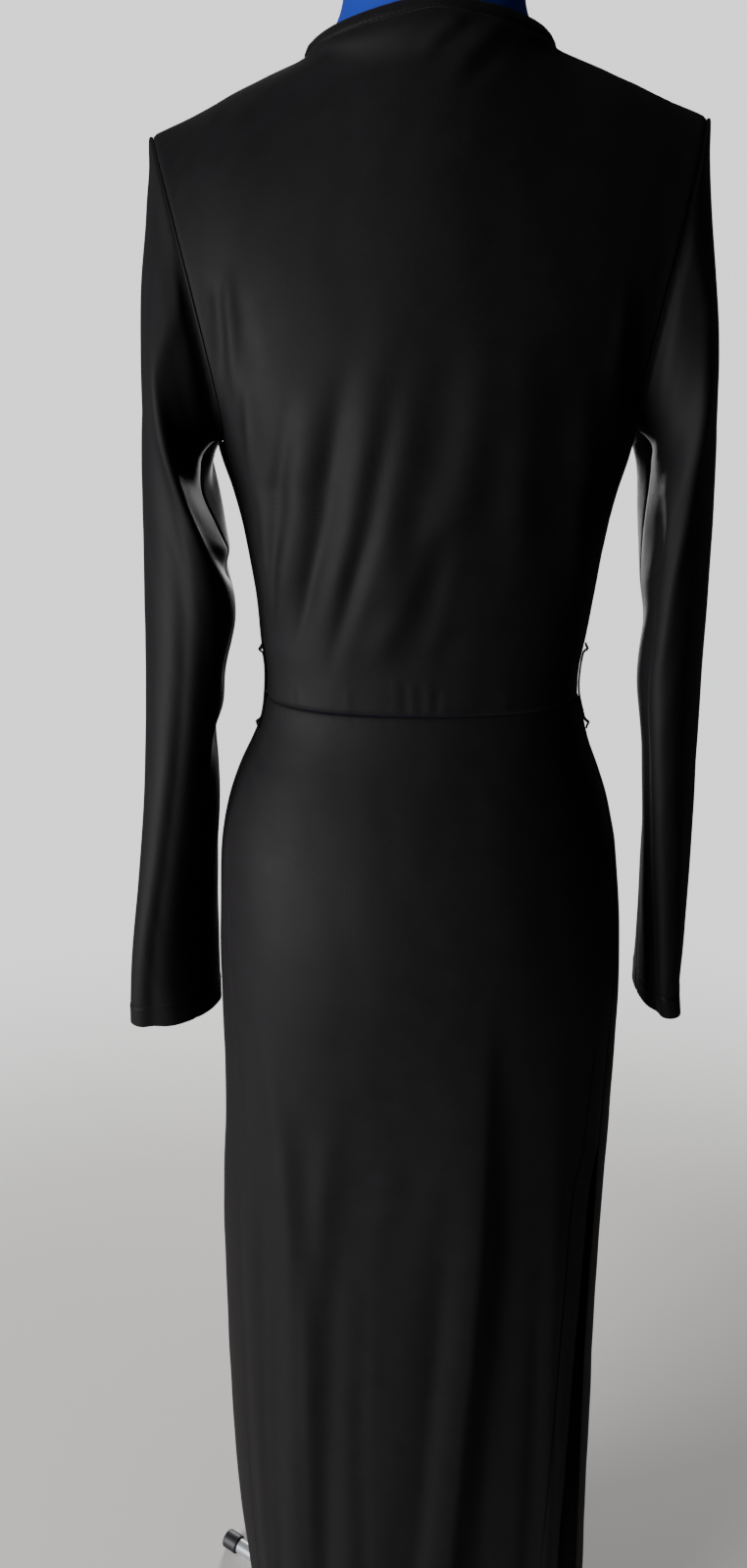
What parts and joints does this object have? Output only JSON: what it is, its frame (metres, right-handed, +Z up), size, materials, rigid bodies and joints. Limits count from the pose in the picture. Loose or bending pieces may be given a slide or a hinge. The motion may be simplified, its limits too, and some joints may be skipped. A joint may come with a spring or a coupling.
{
  "type": "wrap dress on a dress form",
  "caption": "Long black jersey wrap dress with long sleeves and a side slit, resting on a limbless dress form in a blue knit cover on a low tube stand.",
  "frame": {"origin": "On the floor under the middle of the stand, at the flat underside of the hub; the upright stands on this axis.", "axes": "+Z up, +X toward the wearer's left, -Y the way the front of the dress faces. The picture was taken from the +Y side."},
  "size_m": [0.4423, 0.4146, 1.512],
  "materials": {
    "black_jersey": "matte, smooth fine knit",
    "black_binding": "matte, the same jersey folded into a narrow strip",
    "blue_cover": "matte stretch knit",
    "grey_tube": "satin silver-grey paint on round tube",
    "black_plastic": "moulded, slightly grained"
  },
  "bodies": {
    "root": {"back_bodice": "black_jersey", "right_front_bodice": "black_jersey", "left_front_bodice": "black_jersey", "back_skirt": "black_jersey", "right_front_skirt": "black_jersey", "left_front_skirt": "black_jersey", "sleeve_left": "black_jersey", "sleeve_right": "black_jersey", "neck_binding": "black_binding", "belt_loop_left": "black_jersey", "belt_loop_right": "black_jersey", "form_torso": "blue_cover", "stand_pole": "grey_tube", "stand_hub": "black_plastic", "leg_1": "grey_tube", "leg_2": "grey_tube", "leg_3": "grey_tube", "leg_4": "grey_tube", "leg_cap_1": "black_plastic", "leg_cap_2": "black_plastic", "leg_cap_3": "black_plastic", "leg_cap_4": "black_plastic"}
  },
  "joints": []
}
